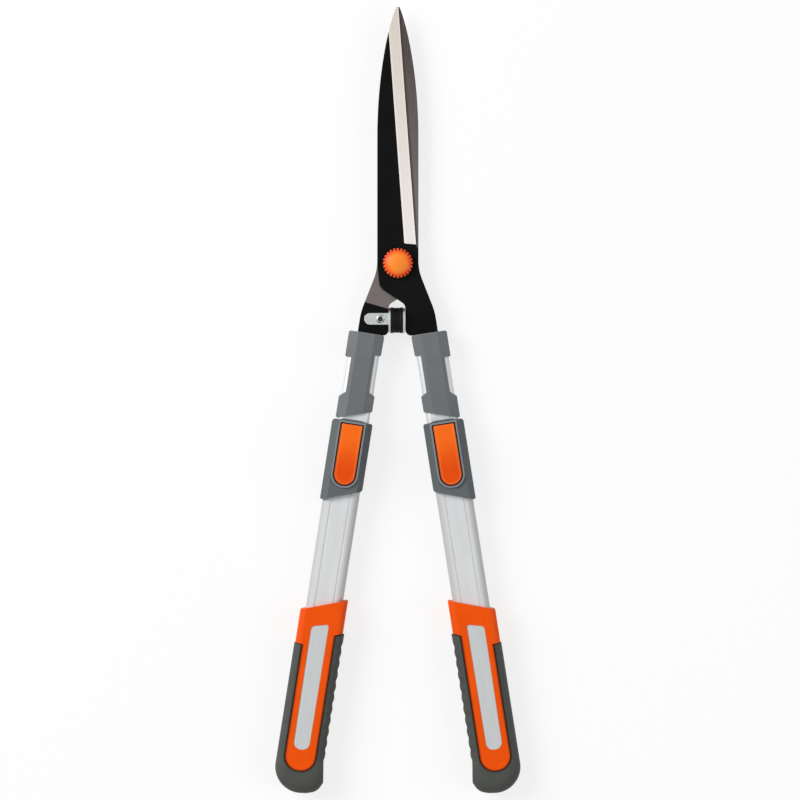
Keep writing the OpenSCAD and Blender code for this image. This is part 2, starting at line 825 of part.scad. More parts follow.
module collar_screws(side) {
    head = -collar_t / 2 + 0.3;
    length = -collar_screw_tip - head;
    head_h = collar_screw_head_h - 0.3 - fit;
    color(steel_bright) on_handle(side)
        for (x = collar_screw_at)
            translate([collar_start + x, 0, head])
                screw(collar_screw_d, length, collar_screw_head_d, head_h, collar_screw_key);
}

module lock_lever(side) {
    color(orange) on_handle(side) difference() {
        union() {
            intersection() {
                slab(lever_top - lever_t, lever_top) polygon(lever_outline(0));
                translate([0, lever_w, 0]) rotate([90, 0, 0]) linear_extrude(2 * lever_w)
                    polygon(rounded([
                        [lever_start, lever_top - lever_t, 1.2], [lever_end + over, lever_top - lever_t, 0],
                        [lever_end + over, lever_top, 0], [lever_start, lever_top, 1.6]
                    ]));
            }
            cross_rod(barrel_r, lever_w);
            translate([cam_throw * sin(cam_lead), 0, -cam_throw * cos(cam_lead)])
                cross_rod(cam_r, shoe_w - 2 * near);
        }
        cross_rod(pin_d / 2 + run, lever_w + 2 * over);
    }
}

module lock_shoe(side) {
    color(steel_bright) on_handle(side)
        translate([pin_x - shoe_l / 2, -shoe_w / 2, shoe_bottom])
            cube([shoe_l, shoe_w, shoe_top - shoe_bottom]);
}

module outer_tube(side) {
    color(alloy) on_handle(side) difference() {
        bar(outer_start, outer_end) tube_section(tube_w, tube_t);
        bar(outer_start - over, outer_end + over)
            tube_section(tube_w - 2 * outer_wall, tube_t - 2 * outer_wall);
        for (y = [-1, 1], z = [-1, 1])
            bar(outer_start - over, outer_end + over)
                translate([y * groove_y, z * tube_t / 2])
                    square([groove_w, 2 * groove_depth], center = true);
        for (x = collar_screw_at)
            translate([collar_start + x, 0, -tube_t]) cylinder(d = collar_screw_d + 2 * fit, h = tube_t);
    }
}

// ---------------------------------------------------------------- grip

// The part of the hard core that shows: the near end, and the panel between the soft strips
module core_face(extra) {
    polygon(rounded([
        [grip_start, -core_w / 2, 1],
        [strip_in + extra, -core_w / 2 - over, 0],
        [strip_in + strip_slant + extra, -panel_w / 2 - extra, 0.6],
        [panel_end + extra, -panel_w / 2 - extra, panel_r],
        [panel_end + extra, panel_w / 2 + extra, panel_r],
        [strip_out + strip_slant / 4 + extra, panel_w / 2 + extra, 0.6],
        [strip_out + extra, core_w / 2 + over, 0],
        [grip_start + grip_slant, core_w / 2, 1]
    ], 10));
}

module core_sleeve(slack) {
    wall = 2 * (sleeve_wall + slack);
    bar(strip_in, sleeve_end + slack) tube_section(tube_w + wall, tube_t + wall);
}

function inlay_outline(extra) = rounded([
    [inlay_start - extra, -inlay_w / 2 - extra + 0.6, 2],
    [inlay_end + extra, -inlay_w / 2 - extra + 1.2, 6.4],
    [inlay_end + extra, inlay_w / 2 + extra, 6.4],
    [inlay_start + inlay_slant - extra, inlay_w / 2 + extra + 0.6, 4]
], 8);

module grip_core(side) {
    trim_floor = grip_t / 2 - inlay_depth - inlay_t - fit;
    color(orange) on_handle(side) difference() {
        union() {
            intersection() {
                slab(-grip_t, grip_t) core_face(0);
                bar(grip_start - over, grip_end) polygon(rounded_box(core_w, grip_t, grip_round));
            }
            core_sleeve(0);
        }
        bar(grip_start - over, outer_end + fit) tube_section(tube_w + 2 * fit, tube_t + 2 * fit);
        slab(trim_floor, grip_t) polygon(inlay_outline(fit));
        slab(-grip_t, -trim_floor) polygon(inlay_outline(fit));
    }
}

// The soft cover's outline on its inner side, with the finger ridges. Its other sides are left to
// cover_body().
function cover_outline() =
    let (inner = -grip_w / 2 + ridge_h / 2, heel_l = grip_end + over - neck)
    rounded(concat(
        [[strip_in, 0, 0], [strip_in, inner - ridge_h, 0.8]],
        [for (i = [ridge_steps / 2 : ridges * ridge_steps])
            [ridge_start + i * ridge_pitch / ridge_steps,
             inner - ridge_h * pow(sin(180 * i / ridge_steps), 2), 0]],
        [
            [neck, inner, 6],
            [neck + heel_l, inner - heel_l * tan(heel_flare), 0],
            [neck + heel_l, grip_w / 2 + over, 0],
            [strip_out, grip_w / 2 + over, 0],
            [strip_out, 0, 0]
        ]
    ));

// A disc of the cover's thickness, or less by this amount, with the cover's rounded edges
module cover_disc(at, r, less) {
    translate([at.x, at.y, 0]) rotate_extrude() intersection() {
        polygon(rounded_box(2 * r, grip_t - less, cover_round));
        translate([0, -grip_t]) square([r + over, 2 * grip_t]);
    }
}

// A bar with rounded edges that ends in a round heel
module cover_body() {
    inner = -grip_w / 2 - ridge_h;
    bar(strip_in - over, end_at.x)
        polygon(rounded([
            [grip_w / 2, grip_t / 2, cover_round], [inner, grip_t / 2, cover_round],
            [inner, -grip_t / 2, cover_round], [grip_w / 2, -grip_t / 2, cover_round]
        ], 8));
    cover_disc(end_at, end_r, 0);
    cover_disc((end_at + heel_at) / 2, (end_r + heel_r) / 2 + heel_bulge, heel_less / 2);
    cover_disc(heel_at, heel_r, heel_less);
}

module grip_cover(side) {
    color(rubber_grey) on_handle(side) difference() {
        intersection() {
            slab(-grip_t, grip_t) polygon(cover_outline());
            cover_body();
        }
        slab(-grip_t, grip_t) core_face(seam);
        core_sleeve(fit);
    }
}

module trim(side, face) {
    color(alloy) on_handle(side)
        mirror([0, 0, face < 0 ? 1 : 0])
            slab(grip_t / 2 - inlay_depth - inlay_t, grip_t / 2 - inlay_depth) polygon(inlay_outline(0));
}

// ---------------------------------------------------------------- nodes

upper_blade();
lower_blade();
pivot_bolt();
pivot_nut();
tension_knob();
wave_washer();
front_washer();
back_washer();
bumper_bracket();
bumper();
strike_plate();
bumper_screw();
bracket_bolt();
bracket_nut();
socket(LEFT);  // left_socket
tang_insert(LEFT);  // left_tang_insert
socket_screws(LEFT);  // left_socket_screws
inner_tube(LEFT);  // left_inner_tube
glide_plug(LEFT);  // left_glide_plug
outer_tube(LEFT);  // left_outer_tube
lock_collar(LEFT);  // left_lock_collar
collar_screws(LEFT);  // left_collar_screws
lever_pin(LEFT);  // left_lever_pin
lock_lever(LEFT);  // left_lock_lever
lock_shoe(LEFT);  // left_lock_shoe
grip_core(LEFT);  // left_grip_core
grip_cover(LEFT);  // left_grip_cover
trim(LEFT, 1);  // left_trim_front
trim(LEFT, -1);  // left_trim_back
socket(RIGHT);  // right_socket
tang_insert(RIGHT);  // right_tang_insert
socket_screws(RIGHT);  // right_socket_screws
inner_tube(RIGHT);  // right_inner_tube
glide_plug(RIGHT);  // right_glide_plug
outer_tube(RIGHT);  // right_outer_tube
lock_collar(RIGHT);  // right_lock_collar
collar_screws(RIGHT);  // right_collar_screws
lever_pin(RIGHT);  // right_lever_pin
lock_lever(RIGHT);  // right_lock_lever
lock_shoe(RIGHT);  // right_lock_shoe
grip_core(RIGHT);  // right_grip_core
grip_cover(RIGHT);  // right_grip_cover
trim(RIGHT, 1);  // right_trim_front
trim(RIGHT, -1);  // right_trim_back
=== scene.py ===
"""Looks of the telescopic hedge shears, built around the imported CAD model.

The CAD solids stay as the shape. This script shades their edges as if they were slightly round, and
gives each surface a node material: coated and ground blades, extruded tubes, grained nylon, soft covers.
"""

import json
import math

import bpy
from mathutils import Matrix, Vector

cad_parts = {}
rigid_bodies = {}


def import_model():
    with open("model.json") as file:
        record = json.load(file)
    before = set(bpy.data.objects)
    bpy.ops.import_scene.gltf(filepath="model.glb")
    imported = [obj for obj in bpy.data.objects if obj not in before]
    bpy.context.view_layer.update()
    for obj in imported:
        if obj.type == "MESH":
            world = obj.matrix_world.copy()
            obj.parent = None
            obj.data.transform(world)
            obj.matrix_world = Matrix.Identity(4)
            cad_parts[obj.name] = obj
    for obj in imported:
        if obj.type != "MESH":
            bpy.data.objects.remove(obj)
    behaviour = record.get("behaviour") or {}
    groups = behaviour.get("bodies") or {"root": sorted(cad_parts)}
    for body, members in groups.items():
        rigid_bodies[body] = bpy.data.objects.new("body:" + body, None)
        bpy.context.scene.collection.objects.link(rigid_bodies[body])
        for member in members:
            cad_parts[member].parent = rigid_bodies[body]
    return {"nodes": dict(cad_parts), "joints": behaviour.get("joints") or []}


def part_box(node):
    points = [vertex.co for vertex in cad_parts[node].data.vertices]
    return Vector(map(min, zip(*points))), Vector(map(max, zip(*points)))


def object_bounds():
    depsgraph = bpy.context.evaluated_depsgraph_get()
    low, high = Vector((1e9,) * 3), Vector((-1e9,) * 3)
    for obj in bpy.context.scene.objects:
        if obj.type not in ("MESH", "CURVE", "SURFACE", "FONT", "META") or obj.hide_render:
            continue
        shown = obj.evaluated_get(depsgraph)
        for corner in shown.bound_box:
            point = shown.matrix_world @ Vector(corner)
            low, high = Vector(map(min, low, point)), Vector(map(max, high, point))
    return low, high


for stray in list(bpy.data.objects):
    bpy.data.objects.remove(stray)

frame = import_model()
NODES = frame["nodes"]
JOINTS = {j["name"]: j for j in frame["joints"]}
CAD_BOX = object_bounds()
MM = 0.001
SIDES = ("right", "left")
PIVOT = Vector(JOINTS["blade_pivot"]["pos_m"])
BOLT = (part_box("bracket_bolt")[0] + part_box("bracket_bolt")[1]) / 2


def rgb(r, g, b):
    """A display colour, 0 to 255, as the linear values that a shader takes."""
    return tuple(c / 3294.6 if c <= 10.31 else ((c / 255 + 0.055) / 1.055) ** 2.4 for c in (r, g, b))


# ---------------------------------------------------------------- places on the tool, in millimetres

# A blade, from the pivot, for the upper one: the foot of its cutting edge, the edge's run to the tip,
# and the line across the tang where the grinding of the inner face ends, as its normal and distance.
EDGE_FOOT = (16.1, 16.5)
EDGE_RUN = (-15.7, 211.5)
GROUND_LINE = (-0.2795, 0.9601, -40.9)

# A handle, from its lever's pin: outlines as far end, half width and corner radius, and the cover's
# finger ridges.
LEVER = (51.0, 9.5, 9.5)
PANEL = (307.3, 13.5, 13.0)
RIDGE_START, RIDGE_PITCH, RIDGE_COUNT = 183.9, 10.22, 11

# How far from an outer tube's middle line the painted shade on its sides begins, and how far out the sides
# are fully shaded.
FLANK_SHADE = (8.5, 13.0)

# Bands along the rim of an outline: where they start, how that start leans across the handle, and each
# band's two distances in from the rim, colour and strength. On the lever the pale band is a painted
# highlight and the dark band at the rim is painted shade; on the panel the dark band is painted shade.
LEVER_RIM_LIGHT_AND_SHADE = (LEVER, -10, 0.0, [
    (1.2, 3.2, rgb(255, 138, 62), 0.3),
    (0.3, 1.0, rgb(96, 36, 14), 0.8),
])
PANEL_RIM_SHADE = (PANEL, 190, 0.444, [(0.1, 1.9, rgb(110, 40, 14), 0.8)])

# ---------------------------------------------------------------- node helpers


class Surface:
    """A material's node tree, built by short calls. Values may be numbers, colours or sockets."""

    def __init__(self, name, **fixed):
        self.material = bpy.data.materials.new(name)
        self.material.use_nodes = True
        self.tree = self.material.node_tree
        self.tree.nodes.clear()
        self.shader = self.tree.nodes.new("ShaderNodeBsdfPrincipled")
        out = self.tree.nodes.new("ShaderNodeOutputMaterial")
        self.tree.links.new(self.shader.outputs[0], out.inputs[0])
        for socket, value in fixed.items():
            self.shader.inputs[socket.replace("_", " ")].default_value = value

    def put(self, socket, value):
        if isinstance(value, bpy.types.NodeSocket):
            self.tree.links.new(value, socket)
        elif socket.type == "RGBA":
            socket.default_value = (*value, 1) if isinstance(value, tuple) else (value, value, value, 1)
        else:
            socket.default_value = value

    def set(self, **values):
        for name, value in values.items():
            self.put(self.shader.inputs[name.replace("_", " ")], value)
        return self

    def node(self, kind, *values, **settings):
        n = self.tree.nodes.new(kind)
        for name, value in settings.items():
            setattr(n, name, value)
        for socket, value in zip(n.inputs, values):
            if value is not None:
                self.put(socket, value)
        return n

    def math(self, operation, *values, clamp=False):
        return self.node("ShaderNodeMath", *values, operation=operation, use_clamp=clamp).outputs[0]

    def ramp(self, value, low, high, to_low=0.0, to_high=1.0):
        """Value between low and high, spread smoothly over to_low and to_high."""
        n = self.node("ShaderNodeMapRange", value, low, high, to_low, to_high)
        n.interpolation_type = "SMOOTHSTEP"
        return n.outputs[0]

    def mix(self, share, a, b):
        n = self.node("ShaderNodeMix", data_type="RGBA")
        self.put(n.inputs[0], share)
        self.put(n.inputs[6], a)
        self.put(n.inputs[7], b)
        return n.outputs[2]

    def place(self, origin=(0, 0, 0), turn=0.0, stretch=(1, 1, 1)):
        """Object coordinates, seen from axes of their own, then stretched."""
        at = self.node("ShaderNodeTexCoord").outputs["Object"]
        n = self.node("ShaderNodeMapping", at, tuple(origin), (0, 0, turn), vector_type="TEXTURE")
        if stretch == (1, 1, 1):
            return n.outputs[0]
        return self.node("ShaderNodeMapping", n.outputs[0], (0, 0, 0), (0, 0, 0), stretch).outputs[0]

    def noise(self, at, size, detail=2.0, rough=0.5):
        """Noise between 0 and 1 whose grains are about this size, in metres."""
        n = self.node("ShaderNodeTexNoise")
        self.put(n.inputs["Vector"], at)
        n.inputs["Scale"].default_value = 1 / size
        n.inputs["Detail"].default_value = detail
        n.inputs["Roughness"].default_value = rough
        return n.outputs[0]

    def edges(self, radius, gain=4.0):
        """1 on sharp edges and 0 on flat faces."""
        soft = self.node("ShaderNodeBevel", radius, samples=6).outputs[0]
        true = self.node("ShaderNodeNewGeometry").outputs["Normal"]
        dot = self.node("ShaderNodeVectorMath", soft, true, operation="DOT_PRODUCT").outputs["Value"]
        return self.math("MULTIPLY", self.math("SUBTRACT", 1.0, dot), gain, clamp=True)

    def reach(self, at):
        """Distance from the upright line through the origin of these coordinates."""
        spot = self.node("ShaderNodeSeparateXYZ", at)
        squares = [self.math("POWER", spot.outputs[i], 2.0) for i in (0, 1)]
        return self.math("SQRT", self.math("ADD", *squares))

    def inside(self, spot, far, half, r):
        """How far in a point lies from an outline of this half width along the handle, with far corners
        of this radius, in millimetres. spot is the point's split coordinates."""
        past = self.math("MAXIMUM", self.math("SUBTRACT", spot.outputs[0], (far - r) * MM), 0.0)
        across = self.math("ABSOLUTE", spot.outputs[1])
        beside = self.math("MAXIMUM", self.math("SUBTRACT", across, (half - r) * MM), 0.0)
        square = self.math("ADD", self.math("MULTIPLY", past, past), self.math("MULTIPLY", beside, beside))
        return self.math("SUBTRACT", r * MM, self.math("SQRT", square))

    def crevice(self, reach):
        """1 deep in gaps narrower than this reach and 0 on open faces."""
        n = self.node("ShaderNodeAmbientOcclusion", samples=6)
        n.inputs["Distance"].default_value = reach
        return self.ramp(n.outputs["AO"], 0.75, 0.3)

    def bump(self, height, depth, strength=1.0, under=None):
        n = self.node("ShaderNodeBump")
        self.put(n.inputs["Height"], height)
        n.inputs["Distance"].default_value = depth
        n.inputs["Strength"].default_value = strength
        if under is not None:
            self.put(n.inputs["Normal"], under)
        return n.outputs[0]

    def soft_normal(self, radius):
        return self.node("ShaderNodeBevel", radius, samples=6).outputs[0]


def shade(colour, share):
    return tuple(c * share for c in colour)


def tint(colour, share):
    """The colour moved towards white."""
    return tuple(c + (1 - c) * share for c in colour)


# ---------------------------------------------------------------- handle axes


def axes(side):
    """A point on a handle's middle line and the turn of its own axes: x along it, y across it."""
    along = JOINTS[side + "_extension"]["axis"]
    pin = JOINTS[side + "_lever_hinge"]["pos_m"]
    return (pin[0], pin[1], PIVOT.z), math.atan2(along[1], along[0])


# ---------------------------------------------------------------- materials


def moulded(name, colour, rough, grain=0.45, depth=0.012, side=None, edge_wear_and_highlight=0.25, gleam=0.2,
            highlight_fade=None, crest_highlight=None, rim=None):
    """Moulded plastic: spark-eroded grain, faint flow marks along the piece, painted shade deep in its
    gaps, and edges lightened, partly as rubbing and partly as a painted highlight. It may change to a
    second colour along the handle, from one distance to another, as a painted highlight; have a paler
    colour above a height over the pivot, as a painted highlight on a raised rim; and bands along the rim
    of its outline, of painted highlight and painted shade."""
    s = Surface(name, Specular_IOR_Level=gleam)
    at = s.place(*axes(side)) if side else s.place()
    flow = s.noise(s.place(*(axes(side) if side else ((0, 0, 0), 0.0)), stretch=(0.25, 1, 1)), 14 * MM, 3)
    cloud = s.noise(at, 38 * MM, 2)
    fine = s.noise(at, grain * MM, 2, 0.6)
    edge = s.edges(0.9 * MM, 9.0)
    scuff_and_highlight = s.math("MULTIPLY", edge, s.ramp(s.noise(at, 5 * MM, 4, 0.65), 0.3, 0.55, 0.45, 1.0))
    base = s.mix(s.ramp(cloud, 0.3, 0.7), shade(colour, 0.93), shade(colour, 1.05))
    spot = s.node("ShaderNodeSeparateXYZ", at)
    # Painted highlight: a paler first colour at the near end, changing to the second colour along the
    # handle.
    if highlight_fade:
        base = s.mix(s.ramp(spot.outputs[0], highlight_fade[0] * MM, highlight_fade[1] * MM), base, highlight_fade[2])
    # Painted highlight: a paler colour above a height, on a raised rim.
    if crest_highlight:
        base = s.mix(s.ramp(spot.outputs[2], crest_highlight[0] * MM, crest_highlight[1] * MM), base, crest_highlight[2])
    base = s.mix(s.math("MULTIPLY", s.ramp(flow, 0.52, 0.7), 0.3), base, shade(colour, 0.86))
    # Edges lightened where the noise allows: partly rubbing, partly a painted highlight.
    base = s.mix(s.math("MULTIPLY", scuff_and_highlight, edge_wear_and_highlight), base, tint(colour, 0.42))
    # Bands of painted highlight and painted shade along the rim of the outline.
    if rim:
        outline, start, lean, bands = rim
        depth_in = s.inside(spot, *outline)
        outward = s.math("MULTIPLY", spot.outputs[1], lean if side == "right" else -lean)
        begun = s.math("SUBTRACT", spot.outputs[0], outward)
        begun = s.ramp(begun, (start - 1) * MM, (start + 1) * MM)
        for near, deep, hue, share in bands:
            band = s.math("MULTIPLY", s.ramp(depth_in, deep * MM, near * MM), share)
            base = s.mix(s.math("MULTIPLY", band, begun), base, hue)
    # Painted shade: darker deep in narrow gaps between parts.
    base = s.mix(s.math("MULTIPLY", s.crevice(1.6 * MM), 0.6), base, shade(colour, 0.3))
    gloss = s.math("ADD", rough, s.math("MULTIPLY", s.math("SUBTRACT", cloud, 0.5), 0.12))
    gloss = s.math("SUBTRACT", gloss, s.math("MULTIPLY", scuff_and_highlight, 0.08), clamp=True)
    normal = s.bump(fine, depth * MM, 1.0, s.soft_normal(0.45 * MM))
    return s.set(Base_Color=base, Roughness=gloss, Normal=normal).material


def plated(name, colour, rough, tone=0.06, blur=0.0, socket=None):
    """Bright or zinc plating: a little waviness, fine rubbing marks, darker pits, and edges lightened as a
    painted highlight. A bolt's key socket, given by its middle, is painted dark, painted shade in the
    recess."""
    s = Surface(name, Metallic=1.0)
    at = s.place()
    rub = s.noise(s.place(stretch=(1, 6, 3)), 1.2 * MM, 4, 0.7)
    spot = s.noise(at, 2.6 * MM, 5, 0.7)
    base = s.mix(s.ramp(spot, 0.35, 0.75), shade(colour, 1 - tone), colour)
    # Painted highlight: edges lightened.
    base = s.mix(s.math("MULTIPLY", s.edges(0.3 * MM), 0.35), base, tint(colour, 0.5))
    gloss = s.math("ADD", rough, s.math("MULTIPLY", s.ramp(rub, 0.45, 0.75), 0.09 + blur))
    if socket:
        # Painted shade: the key socket's recess painted dark.
        recess_shade = s.math("MULTIPLY", s.ramp(s.reach(s.place(socket)), 2.5 * MM, 2.3 * MM), 0.93)
        base = s.mix(recess_shade, base, rgb(20, 20, 34))
        gloss = s.mix(recess_shade, gloss, 0.6)
    wave = s.noise(at, 3 * MM, 1)
    normal = s.bump(rub, 0.002 * MM, 0.6, s.bump(wave, 0.02 * MM, 0.5, s.soft_normal(0.25 * MM)))
    return s.set(Base_Color=base, Roughness=gloss, Normal=normal).material


def extruded(name, side, colour, rough, metal, edge_highlight=0.3, flank_shade=None):
    """Extruded and anodised aluminium: fine die lines along the piece over a matt satin skin, and edges
    lightened as a painted highlight. Its two sides may be darker, at this share of the colour, as painted
    shade."""
    s = Surface(name, Metallic=metal, Specular_IOR_Level=0.2)
    origin, turn = axes(side)
    lines = s.noise(s.place(origin, turn, (0.012, 1, 1)), 0.5 * MM, 4, 0.75)
    broad = s.noise(s.place(origin, turn, (0.02, 1, 1)), 3.5 * MM, 2)
    at = s.place(origin, turn)
    satin = s.noise(at, 0.25 * MM, 2)
    handled = s.noise(s.place(origin, turn, (0.5, 1, 1)), 24 * MM, 3)
    base = s.mix(s.ramp(lines, 0.3, 0.72), shade(colour, 0.9), shade(colour, 1.03))
    base = s.mix(s.math("MULTIPLY", s.ramp(broad, 0.4, 0.68), 0.3), base, shade(colour, 0.88))
    base = s.mix(s.math("MULTIPLY", s.ramp(handled, 0.5, 0.72), 0.2), base, shade(colour, 0.84))
    # Painted shade: the piece's two sides darker.
    if flank_shade:
        across = s.math("ABSOLUTE", s.node("ShaderNodeSeparateXYZ", at).outputs[1])
        base = s.mix(s.ramp(across, FLANK_SHADE[0] * MM, FLANK_SHADE[1] * MM), base, shade(colour, flank_shade))
    # Painted highlight: edges lightened.
    base = s.mix(s.math("MULTIPLY", s.edges(0.3 * MM), edge_highlight), base, tint(colour, 0.6))
    gloss = s.math("ADD", rough, s.math("MULTIPLY", s.math("SUBTRACT", lines, 0.5), 0.16))
    normal = s.bump(lines, 0.012 * MM, 0.7, s.bump(satin, 0.004 * MM, 0.6, s.soft_normal(0.3 * MM)))
    return s.set(Base_Color=base, Roughness=gloss, Normal=normal).material


def blade_steel(name, upper):
    """A blade: black non-stick coat, bright ground bevel, and a ground inner face that is bare down
    to a slanting line across the tang."""
    s = Surface(name, Specular_IOR_Level=0.06)
    way = 1.0 if upper else -1.0
    origin = tuple(PIVOT)
    at = s.place(origin)
    spot = s.node("ShaderNodeSeparateXYZ", at)
    x, y = spot.outputs[0], spot.outputs[1]
    up = s.node("ShaderNodeSeparateXYZ", s.node("ShaderNodeNewGeometry").outputs["True Normal"]).outputs[2]
    outward = s.math("MULTIPLY", up, way)
    bevel = s.math("MULTIPLY", s.math("GREATER_THAN", outward, 0.9), s.math("LESS_THAN", outward, 0.985))
    inner = s.math("LESS_THAN", outward, -0.985)
    line_x, line_y, line_at = GROUND_LINE
    above = s.math("ADD", s.math("MULTIPLY", y, line_y), s.math("MULTIPLY", x, line_x * way))
    ragged = s.math("ADD", above, s.math("MULTIPLY", s.noise(at, 4 * MM, 2), 0.5 * MM))
    ground = s.math("MULTIPLY", inner, s.math("GREATER_THAN", ragged, line_at * MM))

    def from_edge(hand):
        """Distance inward from a cutting edge: the upper blade's for hand 1, the lower's for -1."""
        foot = Vector((hand * EDGE_FOOT[0], EDGE_FOOT[1])) * MM
        inward = Vector((-hand * EDGE_RUN[1], EDGE_RUN[0])).normalized()
        part_x, part_y = s.math("MULTIPLY", x, inward.x), s.math("MULTIPLY", y, inward.y)
        return s.math("SUBTRACT", s.math("ADD", part_x, part_y), foot.dot(inward))

    # coat
    orange_peel = s.noise(at, 0.7 * MM, 2)
    cloud = s.noise(at, 30 * MM, 3)
    black = s.mix(s.ramp(cloud, 0.35, 0.65), rgb(6, 6, 6), rgb(12, 12, 12))
    chipped = s.math("MULTIPLY", s.edges(0.35 * MM), s.ramp(s.noise(at, 1.6 * MM, 5, 0.7), 0.56, 0.66))
    black = s.mix(s.math("MULTIPLY", chipped, 0.4), black, rgb(92, 90, 88))

    # bare steel, ground across the bevel and along the inner face
    lean = math.atan2(EDGE_RUN[0] * way, EDGE_RUN[1])
    cross = s.noise(s.place(origin, lean, (0.05, 1, 1)), 0.35 * MM, 4, 0.8)
    long = s.noise(s.place(origin, 0.0, (1, 0.03, 1)), 0.5 * MM, 4, 0.8)
    stain = s.noise(at, 17 * MM, 4, 0.6)
    height = s.ramp(y, 20 * MM, 225 * MM)
    bright = s.mix(height, rgb(198, 193, 190), rgb(192, 183, 174))
    bright = s.mix(s.math("MULTIPLY", s.ramp(cross, 0.4, 0.75), 0.35), bright, rgb(176, 169, 163))
    bright = s.mix(s.math("MULTIPLY", s.ramp(stain, 0.5, 0.75), 0.25), bright, rgb(180, 172, 166))
    own = from_edge(way)
    # Lighter along the cutting edge and along the bevel's far border.
    pale_edge_lines = s.math("MAXIMUM", s.ramp(own, 1.5 * MM, 0.2 * MM), s.ramp(own, 8.4 * MM, 9.8 * MM))
    bright = s.mix(s.math("MULTIPLY", pale_edge_lines, 0.55), bright, rgb(216, 210, 206))
    dull = s.mix(height, rgb(108, 100, 99), rgb(70, 63, 61))
    dull = s.mix(s.math("MULTIPLY", s.ramp(long, 0.4, 0.75), 0.4), dull, rgb(122, 114, 110))
    dull = s.mix(s.math("MULTIPLY", s.ramp(stain, 0.48, 0.7), 0.35), dull, rgb(86, 78, 75))
    # Painted shade: a dark line on the inner face where the other blade's cutting edge lies over it when
    # closed.
    other = s.math("ABSOLUTE", s.math("ADD", from_edge(-way), 0.5 * MM))
    other_edge_shade = s.math("MULTIPLY", s.ramp(other, 2.6 * MM, 0.4 * MM), s.ramp(y, 12 * MM, 20 * MM))
    dull = s.mix(s.math("MULTIPLY", other_edge_shade, 0.75), dull, rgb(62, 55, 50))

    bare = s.math("MAXIMUM", bevel, ground)
    metal = s.mix(bevel, dull, bright)
    base = s.mix(bare, black, metal)
    coat_gloss = s.math("ADD", 0.42, s.math("MULTIPLY", cloud, 0.12))
    steel_gloss = s.math("ADD", 0.3, s.math("MULTIPLY", s.mix(bevel, long, cross), 0.2))
    gloss = s.mix(bare, coat_gloss, steel_gloss)
    grain = s.mix(bare, orange_peel, s.mix(bevel, long, cross))
    normal = s.bump(grain, 0.01 * MM, 0.5, s.soft_normal(0.2 * MM))
    return s.set(Base_Color=base, Metallic=bare, Roughness=gloss, Normal=normal).material


def tension_knob(name):
    """The knob's plastic: glossy; paler and more yellow towards its middle, a painted highlight on its
    dome, and pale on its edges, a painted highlight on the rib tips.
    """
    s = Surface(name, Specular_IOR_Level=0.14)
    at = s.place(PIVOT)
    cloud = s.noise(at, 6 * MM, 3)
    fine = s.noise(at, 0.5 * MM, 2)
    # Painted highlight: paler and more yellow towards the middle, on the dome.
    base = s.mix(s.ramp(s.reach(at), 6.5 * MM, 12 * MM), rgb(253, 140, 50), rgb(251, 76, 28))
    base = s.mix(s.math("MULTIPLY", s.ramp(cloud, 0.4, 0.7), 0.25), base, rgb(255, 150, 50))
    # Painted highlight: pale edges on the ribs.
    base = s.mix(s.math("MULTIPLY", s.edges(0.4 * MM), 0.8), base, rgb(255, 196, 138))
    normal = s.bump(fine, 0.006 * MM, 1.0, s.soft_normal(0.4 * MM))
    gloss = s.math("ADD", 0.24, s.math("MULTIPLY", cloud, 0.14))
    return s.set(Base_Color=base, Roughness=gloss, Normal=normal).material


def rubber(name, colour, rough, grain=0.3, depth=0.02, gleam=0.2):
    """Moulded rubber: dusty in its pores, smoother where it has been rubbed, and with edges lightened as a
    painted highlight.
    """
    s = Surface(name, Specular_IOR_Level=gleam)
    at = s.place()
    fine = s.noise(at, grain * MM, 3, 0.6)
    cloud = s.noise(at, 9 * MM, 4)
    edge = s.edges(0.8 * MM)
    base = s.mix(s.ramp(cloud, 0.3, 0.72), shade(colour, 0.85), shade(colour, 1.15))
    base = s.mix(s.math("MULTIPLY", s.ramp(fine, 0.55, 0.8), 0.25), base, tint(colour, 0.12))
    # Painted highlight: edges lightened.
    base = s.mix(s.math("MULTIPLY", edge, 0.2), base, tint(colour, 0.2))
    gloss = s.math("SUBTRACT", rough, s.math("MULTIPLY", edge, 0.1))
    normal = s.bump(fine, depth * MM, 0.8, s.soft_normal(0.6 * MM))
    return s.set(Base_Color=base, Roughness=gloss, Normal=normal).material


